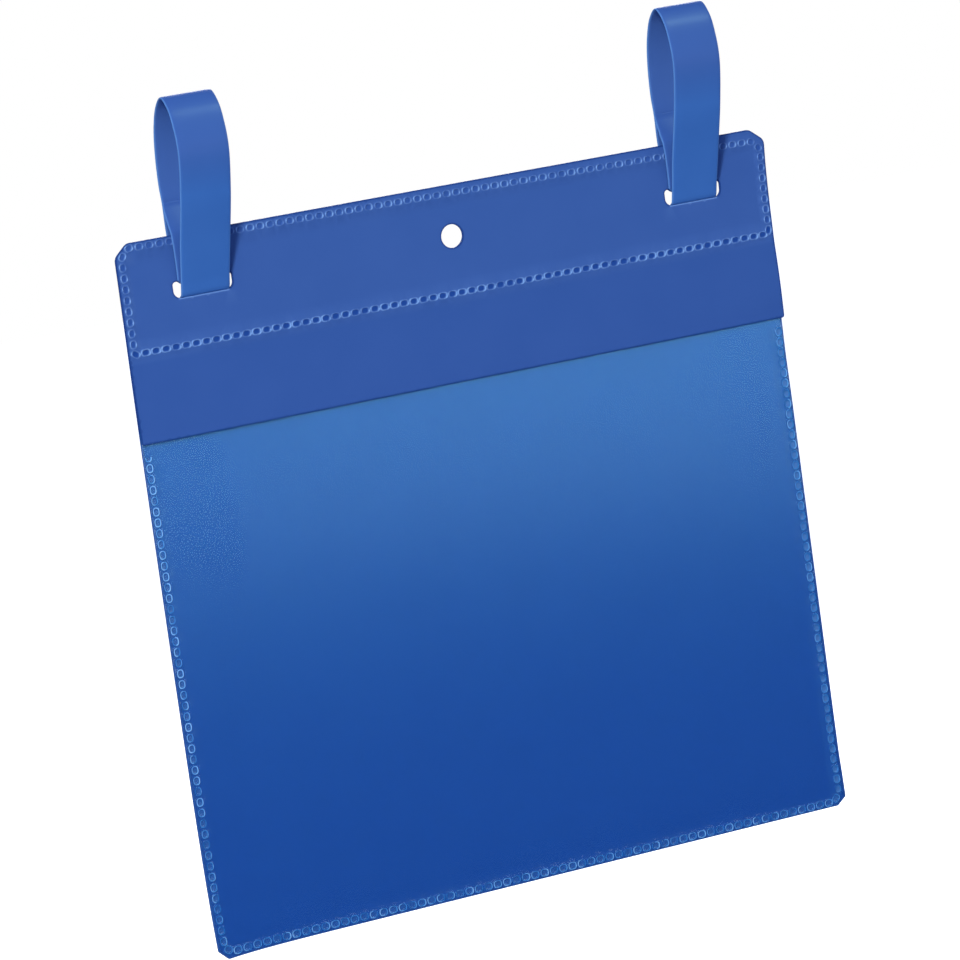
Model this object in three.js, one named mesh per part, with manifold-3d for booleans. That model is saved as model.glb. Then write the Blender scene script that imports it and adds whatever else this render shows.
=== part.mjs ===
// Hanging document pocket. A stiff film back sheet carries a clear front window
// welded on three sides, a header bar with a rain flap that folds on its lower
// weld, and two strap loops that hang the pocket on a mesh wire.
// Millimetres. +Z is up, the front faces -Y and +X is on the viewer's right.
// The origin lies where the wire carries the loops, midway between them.

import * as THREE from 'three';
import { mergeVertices } from 'three/addons/utils/BufferGeometryUtils.js';
import Module from 'manifold-3d';

const wasm = await Module();
wasm.setup();

// The document that the pocket holds, an A5 sheet lying on its side
const documentWidth = 210;
const documentHeight = 148;
const documentEase = 3.15;
const documentHeadroom = 12.35;

// Films
const backThickness = 0.4;
const headerThickness = 0.4;
const windowThickness = 0.3;
const strapThickness = 0.8;

// Welds: a raised bead set in from the edge of the films, with a row of cells
// pressed into it
const weldMargin = 0.75;
const weldWidth = 2.6;
const weldHeight = 0.2;
const weldPitch = 3.3;
const cellWidth = 1.7;
const cellSides = 6;

// Header bar and rain flap
const headerHeight = 36;
const hingeGap = 0.3;
const hingeWeldDrop = 0.65;
const flapLength = 25;
const flapOverlap = 4;
const flapClearance = 0.3;
const flapWeldGap = 3;

// Corners cut off the sheets
const topCut = { wide: 4.8, tall: 4 };
const footCut = { wide: 3.1, tall: 2.8 };

// Holes through the header bar and the back sheet. The slots pass each strap
// twice, so their size follows it
const nailHoleDiameter = 7.3;
const nailHoleDrop = 15.9;
const slotSideClearance = 1.45;
const slotSlack = 3.4;
const slotDrop = 14.1;
const slotInset = 27;

// The bow of the window that leaves room for the document
const pocketGap = 4.8;
const bowPower = 10;
const bowColumns = 13;
const bowRows = 14;
const stationPower = 1.8;

// Straps
const strapWidth = 16.7;
const strapClearance = 0.3;
const strapWeldSink = 0.2;
const strapWeldLength = 4;
const leftLoop = { height: 41.8, reach: 14.6 };
const rightLoop = { height: 44.2, reach: 15 };
const ringRise = 8.5;
const ringBulge = 3.1;
const ringLip = 1.6;
const barbReach = 3.75;
const barbDrop = 5;
const tailLength = 16;
const tailTipInset = 3.75;
const tailBow = 2.4;
const strapSteps = 92;

// Heights and places that follow from the sizes above, measured in the plate's
// own frame: its top edge is at height zero, and the films meet at depth zero.
const weldInset = weldMargin + weldWidth;
const weldMiddle = weldMargin + weldWidth / 2;
const plateWidth = documentWidth + 2 * (documentEase + weldInset);
const halfWidth = plateWidth / 2;
const pocketHalfWidth = halfWidth - weldInset;
const mouthHeight = -(headerHeight + flapLength - flapOverlap);
const pocketFoot = mouthHeight - documentHeadroom - documentHeight;
const plateFoot = pocketFoot - weldInset;
const slotLength = strapWidth + 2 * slotSideClearance;
const slotHeight = 2 * strapThickness + slotSlack;
const slotCentreHeight = -(slotDrop + slotHeight / 2);
const slotCentreAcross = halfWidth - slotInset;
const slotEndRadius = slotHeight / 2;
const slotEndReach = slotLength / 2 - slotEndRadius;
const overrun = 1;

// How far the slot's round ends rise where the strap's edges pass through it
const slotEndRise = slotEndRadius - Math.sqrt(slotEndRadius ** 2 - (strapWidth / 2 - slotEndReach) ** 2);

// A cut corner that is drawn further in keeps its slant and gets smaller
const insetShare = 2 - Math.SQRT2;

// Loop outline, from the ring at the back over the top to the front: forward
// places are shares of the loop's reach, and heights are shares of its height.
const ringBackShare = -0.245;
const loopTopShare = 0.47;
const loopShares = [
  [-0.285, 0.36],
  [-0.235, 0.6],
  [-0.09, 0.79],
  [0.16, 0.935],
  [loopTopShare, 1],
  [0.79, 0.91],
  [0.955, 0.76],
  [1, 0.59],
  [0.785, 0.28],
  [0.41, -0.07],
];

const filmBlue = { color: 0x395ea9, roughness: 0.55, metalness: 0 };
const flapBlue = { color: 0x3559a6, roughness: 0.55, metalness: 0 };
const backBlue = { color: 0x2a5cab, roughness: 0.5, metalness: 0 };
const windowBlue = { color: 0x3f75bb, roughness: 0.12, metalness: 0 };
const strapBlue = { color: 0x3666b0, roughness: 0.45, metalness: 0 };

// Solids

function asSolid(geometry) {
  const bare = geometry.clone();
  bare.deleteAttribute('normal');
  bare.deleteAttribute('uv');
  const merged = mergeVertices(bare);
  const mesh = new wasm.Mesh({
    numProp: 3,
    vertProperties: new Float32Array(merged.attributes.position.array),
    triVerts: new Uint32Array(merged.index.array),
  });
  return new wasm.Manifold(mesh);
}

function asMesh(name, solid, finish) {
  const { vertProperties, triVerts } = solid.getMesh();
  const geometry = new THREE.BufferGeometry();
  geometry.setAttribute('position', new THREE.BufferAttribute(vertProperties, 3));
  geometry.setIndex(new THREE.BufferAttribute(triVerts, 1));
  geometry.computeVertexNormals();
  const mesh = new THREE.Mesh(geometry, new THREE.MeshStandardMaterial(finish));
  mesh.name = name;
  return mesh;
}

// A shape drawn in width and height becomes a plate whose back is at depthBack
function plate(shape, thickness, depthBack) {
  const geometry = new THREE.ExtrudeGeometry(shape, {
    depth: thickness,
    bevelEnabled: false,
    curveSegments: 8,
  });
  geometry.applyMatrix4(new THREE.Matrix4().set(
    1, 0, 0, 0,
    0, 0, -1, depthBack,
    0, 1, 0, 0,
    0, 0, 0, 1,
  ));
  return asSolid(geometry);
}

// A shape drawn in forward reach and height becomes a band of the given width
function band(shape, width, centreAcross) {
  const geometry = new THREE.ExtrudeGeometry(shape, { depth: width, bevelEnabled: false });
  geometry.applyMatrix4(new THREE.Matrix4().set(
    0, 0, -1, centreAcross + width / 2,
    -1, 0, 0, 0,
    0, 1, 0, 0,
    0, 0, 0, 1,
  ));
  return asSolid(geometry);
}

// A thin sheet over a grid of points on its back face, given from its left
// to its right and from its top to its foot
function sheet(rows, thickness) {
  const across = rows[0].length;
  const positions = [];
  for (const offset of [0, thickness]) {
    for (const row of rows) {
      for (const [x, y, z] of row) positions.push(x, y - offset, z);
    }
  }
  const layer = rows.length * across;
  const indices = [];
  const quad = (a, b, c, d) => indices.push(a, b, c, a, c, d);
  for (let r = 0; r + 1 < rows.length; r += 1) {
    for (let c = 0; c + 1 < across; c += 1) {
      const a = r * across + c;
      const below = a + across;
      quad(a, a + 1, below + 1, below);
      quad(layer + a, layer + below, layer + below + 1, layer + a + 1);
    }
  }
  const rim = [];
  for (let c = 0; c + 1 < across; c += 1) rim.push(c);
  for (let r = 0; r + 1 < rows.length; r += 1) rim.push(r * across + across - 1);
  for (let c = across - 1; c > 0; c -= 1) rim.push((rows.length - 1) * across + c);
  for (let r = rows.length - 1; r > 0; r -= 1) rim.push(r * across);
  rim.forEach((a, i) => {
    const b = rim[(i + 1) % rim.length];
    quad(a, layer + a, layer + b, b);
  });
  const geometry = new THREE.BufferGeometry();
  geometry.setAttribute('position', new THREE.Float32BufferAttribute(positions, 3));
  geometry.setIndex(indices);
  return asSolid(geometry);
}

// Outlines

// A rectangle about the middle of the plate, with its corners cut off
function cutRectangle(half, top, foot, topCorner, footCorner) {
  const right = [
    ...cornerPoints(half, foot, footCorner, 1),
    ...cornerPoints(half, top, topCorner, -1).reverse(),
  ];
  const left = right.map(([across, height]) => [-across, height]).reverse();
  return [...right, ...left].map(([across, height]) => new THREE.Vector2(across, height));
}

function cornerPoints(across, height, cut, inward) {
  if (!cut || cut.wide <= 0 || cut.tall <= 0) return [[across, height]];
  return [[across - cut.wide, height], [across, height + inward * cut.tall]];
}

function insetCut(cut, inset) {
  const less = inset * insetShare;
  return { wide: cut.wide - less, tall: cut.tall - less };
}

function slotPath(centreAcross) {
  const right = centreAcross + slotEndReach;
  const left = centreAcross - slotEndReach;
  const path = new THREE.Path();
  path.absarc(right, slotCentreHeight, slotEndRadius, -Math.PI / 2, Math.PI / 2);
  path.absarc(left, slotCentreHeight, slotEndRadius, Math.PI / 2, Math.PI * 3 / 2);
  path.closePath();
  return path;
}

function headerHoles() {
  const nailHole = new THREE.Path();
  nailHole.absarc(0, -nailHoleDrop, nailHoleDiameter / 2, 0, Math.PI * 2);
  return [slotPath(-slotCentreAcross), slotPath(slotCentreAcross), nailHole];
}

// Welds

// The cells of a weld are pressed a pitch apart along the middle of its bead
function weldCells(corners, closed) {
  const line = new THREE.Path(corners);
  if (closed) line.closePath();
  const places = line.getSpacedPoints(Math.round(line.getLength() / weldPitch));
  if (closed) places.pop();
  return places.map(weldCell);
}

function weldCell(centre) {
  const corners = Array.from({ length: cellSides }, (_, i) => {
    const angle = i * 2 * Math.PI / cellSides;
    const across = centre.x + Math.cos(angle) * cellWidth / 2;
    return new THREE.Vector2(across, centre.y + Math.sin(angle) * cellWidth / 2);
  });
  return new THREE.Path(corners);
}

// Film parts

function backSheet() {
  const outline = new THREE.Shape(cutRectangle(halfWidth, 0, plateFoot, topCut, footCut));
  outline.holes.push(...headerHoles());
  return plate(outline, backThickness, backThickness);
}

// The weld bead of the header bar runs round it and along the flap's hinge
function headerPanel() {
  const outline = new THREE.Shape(
    cutRectangle(halfWidth, 0, -headerHeight + hingeGap / 2, topCut, null),
  );
  outline.holes.push(...headerHoles());
  const beadFoot = -headerHeight + hingeWeldDrop;
  const bead = new THREE.Shape(cutRectangle(
    halfWidth - weldMargin, -weldMargin, beadFoot, insetCut(topCut, weldMargin), null,
  ));
  bead.holes.push(new THREE.Path(cutRectangle(
    pocketHalfWidth, -weldInset, beadFoot + weldWidth, insetCut(topCut, weldInset), null,
  )));
  const middle = cutRectangle(
    halfWidth - weldMiddle, -weldMiddle, beadFoot + weldWidth / 2, insetCut(topCut, weldMiddle), null,
  );
  bead.holes.push(...weldCells(middle, true));
  const film = plate(outline, headerThickness, 0);
  return film.add(plate(bead, headerThickness + weldHeight, 0));
}

// How far the window stands off the back sheet at a place across and a height
function windowGap(across, height) {
  const acrossShare = Math.min(Math.abs(across) / pocketHalfWidth, 1);
  const downShare = Math.min(Math.max((mouthHeight - height) / (mouthHeight - pocketFoot), 0), 1);
  return pocketGap * (1 - acrossShare ** bowPower) * (1 - downShare ** bowPower);
}

// Shares from 0 to 1 that draw closer together towards 1, where the film bends
function stations(count) {
  return Array.from({ length: count + 1 }, (_, i) => 1 - (1 - i / count) ** stationPower);
}

function acrossStations() {
  const right = stations(bowColumns).map((share) => share * pocketHalfWidth);
  const left = right.slice(1).reverse().map((across) => -across);
  return [-halfWidth - overrun, ...left, ...right, halfWidth + overrun];
}

function frontWindow() {
  const heights = stations(bowRows).map((share) => mouthHeight + share * (pocketFoot - mouthHeight));
  heights.push(plateFoot - overrun);
  const rows = heights.map((height) => acrossStations().map(
    (across) => [across, -windowGap(across, height), height],
  ));
  const film = sheet(rows, windowThickness);
  const outline = new THREE.Shape(
    cutRectangle(halfWidth, mouthHeight, plateFoot, null, footCut),
  );
  const trimmed = film.intersect(plate(outline, pocketGap + windowThickness + overrun, 0));
  return trimmed.add(windowBead());
}

// The window's weld bead runs down both sides and along the foot
function windowBead() {
  const top = -(headerHeight + flapLength + flapWeldGap);
  const outer = cutRectangle(
    halfWidth - weldMargin, top, plateFoot + weldMargin, null, insetCut(footCut, weldMargin),
  );
  const middle = cutRectangle(
    halfWidth - weldMiddle, top - weldWidth / 2, plateFoot + weldMiddle,
    null, insetCut(footCut, weldMiddle),
  );
  const line = [...middle.slice(middle.length / 2), ...middle.slice(0, middle.length / 2)];
  const bead = new THREE.Shape(outer);
  bead.holes.push(...weldCells(line, false));
  const hollow = new THREE.Shape(
    cutRectangle(pocketHalfWidth, top + overrun, pocketFoot, null, insetCut(footCut, weldInset)),
  );
  const tall = windowThickness + weldHeight;
  return plate(bead, tall, 0).subtract(plate(hollow, tall + 2 * overrun, overrun));
}

// The flap is straight from its hinge to its lower edge, and the mouth of the
// window holds it off the plate
function rainFlap() {
  const mouthShare = 1 - flapOverlap / flapLength;
  const hingeHeight = -headerHeight - hingeGap / 2;
  const rows = [0, 1].map((share) => acrossStations().map((place) => {
    const across = Math.min(Math.max(place, -halfWidth), halfWidth);
    const mouth = windowGap(across, mouthHeight) + windowThickness + flapClearance;
    const rise = mouth / mouthShare;
    const drop = Math.sqrt(flapLength ** 2 - rise ** 2);
    return [across, -rise * share, hingeHeight - drop * share];
  }));
  return sheet(rows, headerThickness);
}

// Straps

// Points on the middle of the strap, as forward reach and height: from its
// welded end down the front of the header bar, round its lower edge through the
// slot, up behind as the ring, over the loop and back through the slot
function strapRoute(loop) {
  const half = strapThickness / 2;
  const ringRadius = headerThickness + 2 * strapClearance + half;
  const ringHeight = -slotDrop - 2 * strapClearance - half + ringRadius;
  const ringBack = ringBackShare * loop.reach;
  const ringWeld = ringBack + strapThickness - strapWeldSink;
  const legHeight = -slotDrop - slotHeight + slotEndRise + strapThickness + strapClearance;
  const tailRest = -(backThickness + strapClearance + half);
  const turn = [0, 1, 2, 3, 4].map((step) => {
    const angle = -step * Math.PI / 4;
    return [ringRadius * Math.cos(angle), ringHeight + ringRadius * Math.sin(angle)];
  });
  return [
    [ringWeld, ringRise],
    [ringWeld, ringRise - strapWeldLength / 2],
    [ringLip, 0],
    [ringBulge, -slotDrop / 2],
    ...turn,
    [ringBack, 0],
    [ringBack, ringRise],
    ...loopShares.map(([forward, up]) => [forward * loop.reach, up * loop.height]),
    [ringLip + half, -slotDrop],
    [half, legHeight],
    [-half, legHeight - half],
    [-tailBow, legHeight - tailBow],
    [-tailBow, legHeight - 2 * tailBow],
    [tailRest, slotCentreHeight - tailLength],
  ];
}

function strapSamples(loop) {
  const points = strapRoute(loop).map(([forward, up]) => new THREE.Vector3(forward, up, 0));
  const curve = new THREE.CatmullRomCurve3(points, false, 'centripetal');
  return Array.from({ length: strapSteps + 1 }, (_, i) => ({
    point: curve.getPointAt(i / strapSteps),
    tangent: curve.getTangentAt(i / strapSteps),
  }));
}

// The outline of a stretch of strap, one face out and the other back
function strapOutline(samples) {
  const offset = ({ point, tangent }, distance) => new THREE.Vector2(
    point.x - tangent.y * distance,
    point.y + tangent.x * distance,
  );
  const half = strapThickness / 2;
  const near = samples.map((sample) => offset(sample, half));
  const far = samples.map((sample) => offset(sample, -half)).reverse();
  return new THREE.Shape([...near, ...far]);
}

// The outline of the tail: straight through the slot, then barbs that hold it
// behind the slot, and a taper to its tip
function tailOutline() {
  const shoulder = -(slotDrop + slotHeight + strapThickness);
  const foot = slotCentreHeight - tailLength - overrun;
  const right = [
    [strapWidth / 2, 0],
    [strapWidth / 2, shoulder],
    [strapWidth / 2 + barbReach, shoulder - barbDrop],
    [strapWidth / 2 - tailTipInset, foot],
  ];
  const left = right.map(([across, height]) => [-across, height]).reverse();
  return new THREE.Shape(
    [...right.reverse(), ...left.reverse()].map(([x, z]) => new THREE.Vector2(x, z)),
  );
}

function strap(loop, centreAcross) {
  const samples = strapSamples(loop);
  const ringFoot = samples.findIndex(({ point }) => point.x < 0 && point.y < -slotDrop);
  const slotPass = samples.findLastIndex(({ point }) => point.x > 0);
  const ring = strapOutline(samples.slice(0, ringFoot + 2));
  const loopBand = strapOutline(samples.slice(ringFoot, slotPass + 2));
  const tail = strapOutline(samples.slice(slotPass));
  const reach = tailBow + strapThickness + overrun;
  const tailCutter = plate(tailOutline(), 2 * reach, reach).translate([centreAcross, 0, 0]);
  return band(ring, strapWidth, centreAcross)
    .add(band(loopBand, strapWidth, centreAcross))
    .add(band(tail, strapWidth + 2 * barbReach, centreAcross).intersect(tailCutter));
}

// The plate stands so that the inner tops of the loops carry it at the origin
const hangForward = loopTopShare * (leftLoop.reach + rightLoop.reach) / 2;
const hangHeight = (leftLoop.height + rightLoop.height) / 2 - strapThickness / 2;

const pocket = new THREE.Group();
pocket.position.set(0, hangForward, -hangHeight);
pocket.add(
  asMesh('back_sheet', backSheet(), backBlue),
  asMesh('front_window', frontWindow(), windowBlue),
  asMesh('header_panel', headerPanel(), filmBlue),
  asMesh('rain_flap', rainFlap(), flapBlue),
  asMesh('strap_left', strap(leftLoop, -slotCentreAcross), strapBlue),
  asMesh('strap_right', strap(rightLoop, slotCentreAcross), strapBlue),
);

const model = new THREE.Group();
model.add(pocket);

export default model;
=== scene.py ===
import math
from collections import namedtuple

import bmesh
import bpy
import numpy as np
from mathutils import Matrix, Vector
from mathutils.geometry import delaunay_2d_cdt


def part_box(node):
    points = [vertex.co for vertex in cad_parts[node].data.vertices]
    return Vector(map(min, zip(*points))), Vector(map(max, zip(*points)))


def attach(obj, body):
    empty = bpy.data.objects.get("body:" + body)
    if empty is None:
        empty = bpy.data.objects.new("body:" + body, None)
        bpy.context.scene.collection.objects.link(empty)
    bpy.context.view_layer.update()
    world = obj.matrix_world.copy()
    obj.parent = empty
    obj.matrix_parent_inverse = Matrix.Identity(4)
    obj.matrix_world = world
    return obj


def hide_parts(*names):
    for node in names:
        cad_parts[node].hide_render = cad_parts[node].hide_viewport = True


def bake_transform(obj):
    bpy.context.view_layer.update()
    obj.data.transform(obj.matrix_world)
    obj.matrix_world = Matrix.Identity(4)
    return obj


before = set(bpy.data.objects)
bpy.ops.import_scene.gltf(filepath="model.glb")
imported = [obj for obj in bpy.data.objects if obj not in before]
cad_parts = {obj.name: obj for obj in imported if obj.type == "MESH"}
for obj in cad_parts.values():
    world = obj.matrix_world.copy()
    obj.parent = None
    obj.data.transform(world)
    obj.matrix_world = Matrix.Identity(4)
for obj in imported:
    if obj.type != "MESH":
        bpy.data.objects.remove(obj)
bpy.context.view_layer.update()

# Sizes are millimetres in the plate's own frame: x across from its middle, y
# to the back from where the films meet, z up from its top edge. The films are
# laid out flat as (x, s), where s runs down the film from the top edge.
MM = 0.001
back_low, back_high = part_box("back_sheet")
PLATE_ORIGIN = np.array([0.0, back_low.y, back_high.z])

HALF_WIDTH = 111.5
PLATE_HEIGHT = 220.7
HINGE_DROP = 36.0
FLAP_LENGTH = 25.0
MOUTH_DROP = 57.0
WELD_INSET = 3.35
POCKET_HALF = HALF_WIDTH - WELD_INSET
POCKET_FOOT = PLATE_HEIGHT - WELD_INSET

BACK_THICK = 0.4
HEADER_THICK = 0.4
WINDOW_THICK = 0.3
FILM_GAP = 0.02

# Corners cut off the films, as (wide, tall) on the left and on the right
TOP_CUTS = ((4.3, 3.9), (5.2, 3.9))
FOOT_CUTS = ((2.9, 3.1), (3.3, 2.5))
TOP_ROUND = 3.0
CORNER_ROUND = 0.8

NAIL_DROP = 15.9
NAIL_RADIUS = 3.65
SLOT_ACROSS = 84.5
SLOT_DROP = 16.6
SLOT_HALF_LENGTH = 9.8
SLOT_RADIUS = 2.5
SLOT_TOP_CORNER = 1.0
SLOT_FOOT_CORNER = 2.3

# Weld cells. The rim of a cell is 1 from its middle in the cell's own measure,
# which is its half length along the weld and its half width across it
CELL_PITCH = 3.33
CELL_POWER = 2.9
CELL_RIM_SOFT = 0.19
CELL_RIM_HEIGHT = 0.16
CELL_FLOOR_SINK = 0.08
CELL_FLOOR = 0.98
CELL_RINGS = ((0.42, 8), (0.66, 12), (0.84, 18), (1.0, 18), (1.16, 18), (1.3, 18))
CELL_CLEAR = 0.52
FLOOR_SLOPE = 4
CUT_OFF_REACH = 0.2
BARE_START = 1.05
BARE_REACH = 0.3
# Where the painted glint sits on a cell's wall and how far it reaches
GLINT_OFFSET = 0.35
GLINT_REACH = 0.45
BACK_PRINT = 0.35

# The films' cut edges: the steps along them, their rounding as (inset, depth),
# the loops of points inside them, where other points start, and how far the
# painted shade along them reaches and how much pressed rims take it away
EDGE_STEP = 1.5
EDGE_PROFILE = ((0.12, 0.0), (0.035, 0.035), (0.0, 0.12))
GUARD_INSETS = (0.34, 0.62)
GRID_INSET = 0.75
SHADE_REACH = 0.45
SHADE_FADE = 3

# How far the window stands off the back sheet, how much more at its mouth, and
# how far from the mouth and from a weld that takes
WINDOW_BOW = 0.3
WINDOW_LIP = 0.1
LIP_REACH = 5.0
BOW_EDGE = 1.8

# A painted highlight along the slots' lower edges, painted shade on the flap and
# a painted reflection in the band by the right weld: their tones and where they lie
SLOT_LIP_HIGHLIGHT = 0.6
SLOT_LIP_DROP = 0.15
SLOT_LIP_REACH = 0.25
SLOT_LIP_INSET = 1.2
FLAP_SHADE = 0.2
BAND_REFLECTION = 0.1
BAND_WIDTH = 2.2
BAND_OVER = 0.2
BAND_DROP = 8


# Loops and points on the flat film

def rounded_loop(corners, radii, step):
    """A closed loop through the corners, each rounded by its radius, in steps no longer than step."""
    corners = [np.array(c, float) for c in corners]
    arcs = []
    for i, (here, radius) in enumerate(zip(corners, radii)):
        before, after = corners[i - 1], corners[(i + 1) % len(corners)]
        a, b = before - here, after - here
        la, lb = np.linalg.norm(a), np.linalg.norm(b)
        a, b = a / la, b / lb
        half = math.acos(np.clip(a @ b, -1, 1)) / 2
        reach = min(radius / math.tan(half), 0.45 * la, 0.45 * lb)
        rounding = reach * math.tan(half)
        middle = here + (a + b) / np.linalg.norm(a + b) * (rounding / math.sin(half))
        start, end = here + a * reach - middle, here + b * reach - middle
        turn = math.atan2(start[0] * end[1] - start[1] * end[0], start @ end)
        steps = max(2, math.ceil(abs(turn) / math.radians(15)))
        angles = np.linspace(0, turn, steps + 1)
        arcs.append([
            middle + start * math.cos(t) + np.array([-start[1], start[0]]) * math.sin(t)
            for t in angles
        ])
    points = []
    for i, arc in enumerate(arcs):
        points += arc
        ahead = arcs[(i + 1) % len(arcs)][0]
        span = ahead - arc[-1]
        count = max(1, math.ceil(np.linalg.norm(span) / step))
        points += [arc[-1] + span * k / count for k in range(1, count)]
    return np.array(points)


def round_hole(x, s, radius, sides=48):
    angles = 2 * math.pi * (np.arange(sides) + 0.5) / sides
    return np.stack([x + radius * np.cos(angles), s + radius * np.sin(angles)], 1)


def slot_hole(x):
    corners = [
        (x + side * SLOT_HALF_LENGTH, SLOT_DROP + level * SLOT_RADIUS)
        for side, level in ((1, -1), (1, 1), (-1, 1), (-1, -1))
    ]
    radii = [SLOT_TOP_CORNER, SLOT_FOOT_CORNER, SLOT_FOOT_CORNER, SLOT_TOP_CORNER]
    return rounded_loop(corners, radii, EDGE_STEP)


def edge_distance(points, loop):
    """How far each point is from the nearest side of the loop."""
    sides = np.roll(loop, -1, axis=0) - loop
    lengths = np.sum(sides ** 2, axis=1)
    found = np.empty(len(points))
    for start in range(0, len(points), 2048):
        part = slice(start, start + 2048)
        gaps = points[part, None, :] - loop[None]
        along = np.clip(np.sum(gaps * sides, axis=2) / lengths, 0, 1)
        found[part] = np.linalg.norm(gaps - along[..., None] * sides, axis=2).min(axis=1)
    return found


def signed_area(loop):
    x, s = loop.T
    return 0.5 * np.sum(x * np.roll(s, -1) - s * np.roll(x, -1))


def inset(loop, distance):
    """The loop moved by distance towards its inside, or outwards where that is negative."""
    before, after = np.roll(loop, 1, axis=0), np.roll(loop, -1, axis=0)
    d1 = loop - before
    d2 = after - loop
    d1 /= np.linalg.norm(d1, axis=1)[:, None]
    d2 /= np.linalg.norm(d2, axis=1)[:, None]
    turn = math.copysign(1.0, signed_area(loop))
    n1 = np.stack([-d1[:, 1], d1[:, 0]], 1) * turn
    n2 = np.stack([-d2[:, 1], d2[:, 0]], 1) * turn
    mid = n1 + n2
    mid /= np.linalg.norm(mid, axis=1)[:, None]
    return loop + mid * (distance / np.sum(mid * n1, axis=1))[:, None]


def inside(points, loop):
    x, s = points[:, 0], points[:, 1]
    found = np.zeros(len(points), bool)
    for (x0, s0), (x1, s1) in zip(loop, np.roll(loop, -1, axis=0)):
        if s0 == s1:
            continue
        crosses = (s0 > s) != (s1 > s)
        found ^= crosses & (x < (x1 - x0) * (s - s0) / (s1 - s0) + x0)
    return found


def film_outline(top, foot, top_cuts, foot_cuts):
    """The outline of a film from top to foot whose corners are cut off, from its top right one."""
    def corner(side, s, cuts, inward):
        edge = side * HALF_WIDTH
        if cuts is None:
            return [(edge, s)]
        wide, tall = cuts[side > 0]
        return [(edge - side * wide, s), (edge, s + inward * tall)]
    corners = corner(1, top, top_cuts, 1)
    corners += corner(1, foot, foot_cuts, -1)[::-1]
    corners += corner(-1, foot, foot_cuts, -1)
    corners += corner(-1, top, top_cuts, 1)[::-1]
    radii = [TOP_ROUND if s < TOP_CUTS[0][1] + 1 else CORNER_ROUND for _, s in corners]
    return rounded_loop(corners, radii, EDGE_STEP)


def grid(xs, ss):
    x, s = np.meshgrid(np.array(xs, float), np.array(ss, float))
    return np.stack([x.ravel(), s.ravel()], 1)


# Weld cells: their middles, the weld's direction there, their half sizes along
# and across it, the tones of their left and right walls and of their floors, the
# painted glint where they meet, the share of tone that their level walls keep
# beside the painted highlight on walls facing the sides, and the place down the
# film above which they are cut off
Cells = namedtuple("Cells", "places ways sizes tones pits shines levels tops")


def spaced(corners, closed):
    """Places a pitch apart along a line, and the direction of the line at each."""
    line = np.array(corners + corners[:1] if closed else corners, float)
    steps = np.linalg.norm(np.diff(line, axis=0), axis=1)
    along = np.concatenate([[0], np.cumsum(steps)])
    count = round(along[-1] / CELL_PITCH)
    stops = np.linspace(0, along[-1], count + 1)
    if closed:
        stops = stops[:-1]
    def at(t):
        t = t % along[-1] if closed else np.clip(t, 0, along[-1])
        return np.stack([np.interp(t, along, line[:, k]) for k in (0, 1)], 1)
    ahead = at(stops + CELL_PITCH / 2) - at(stops - CELL_PITCH / 2)
    return at(stops), ahead / np.linalg.norm(ahead, axis=1)[:, None]


def cell_distance(u, v, sizes):
    """Distance from a cell's middle in its own measure, in ovals with square shoulders."""
    total = np.abs(u / sizes[:, 0]) ** CELL_POWER + np.abs(v / sizes[:, 1]) ** CELL_POWER
    return total ** (1 / CELL_POWER)


def cell_points(cells):
    points = [cells.places]
    across = np.stack([-cells.ways[:, 1], cells.ways[:, 0]], 1)
    for radius, count in CELL_RINGS:
        for k in range(count):
            angle = 2 * math.pi * (k + 0.5) / count
            u, v = math.cos(angle), math.sin(angle)
            scale = (radius / cell_distance(u, v, cells.sizes))[:, None]
            points.append(cells.places + cells.ways * (u * scale) + across * (v * scale))
    return np.concatenate(points)


def cell_form(points, cells):
    """Height, rim tone with its painted highlights, floor tone and share of bare film at each point, from
    its nearest weld cell.
    """
    height, rim, pit, bare = np.zeros((4, len(points)))
    for start in range(0, len(points), 4096):
        part = slice(start, start + 4096)
        gaps = points[part, None, :] - cells.places[None]
        nearest = np.argmin(np.sum(gaps ** 2, axis=2), axis=1)
        gap = gaps[np.arange(len(nearest)), nearest]
        way = cells.ways[nearest]
        u = np.sum(gap * way, axis=1)
        v = gap[:, 1] * way[:, 0] - gap[:, 0] * way[:, 1]
        d = cell_distance(u, v, cells.sizes[nearest])
        shown = np.clip((points[part, 1] - cells.tops[nearest]) / CUT_OFF_REACH, 0, 1)
        wall = shown * np.exp(-((d - 1) / CELL_RIM_SOFT) ** 2)
        floor = np.clip((1 - d / CELL_FLOOR) * FLOOR_SLOPE, 0, 1)
        floor = shown * floor ** 2 * (3 - 2 * floor)
        # Painted highlights: walls facing the sides are lightened and glints are painted where cells meet
        facing = gap[:, 0] ** 2 / (np.sum(gap ** 2, axis=1) + 1e-6)
        glint = np.exp(-((gap[:, 1] - GLINT_OFFSET * np.sign(gap[:, 0])) / GLINT_REACH) ** 2)
        level = cells.levels[nearest]
        lit = level + facing * (1 - level + cells.shines[nearest] * glint)
        tone = cells.tones[nearest, (gap[:, 0] > 0).astype(int)]
        rim[part] = wall * np.clip(tone * lit, 0, 1)
        pit[part] = floor * cells.pits[nearest]
        bare[part] = np.clip((d - BARE_START) / BARE_REACH, 0, 1)
        height[part] = CELL_RIM_HEIGHT * wall - CELL_FLOOR_SINK * floor
    return height, rim, pit, bare


def cover_painted_light(points):
    """Rim tone of a painted highlight along the slots' lower edges, and floor tone of painted shade on the
    flap, which hangs free.
    """
    x, s = points.T
    below = s - SLOT_DROP - SLOT_RADIUS
    along = np.abs(np.abs(x) - SLOT_ACROSS)
    lip = SLOT_LIP_HIGHLIGHT * np.exp(-((below - SLOT_LIP_DROP) / SLOT_LIP_REACH) ** 2)
    return lip * (along < SLOT_HALF_LENGTH - SLOT_LIP_INSET), FLAP_SHADE * np.clip(s - HINGE_DROP, 0, 1)


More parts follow.
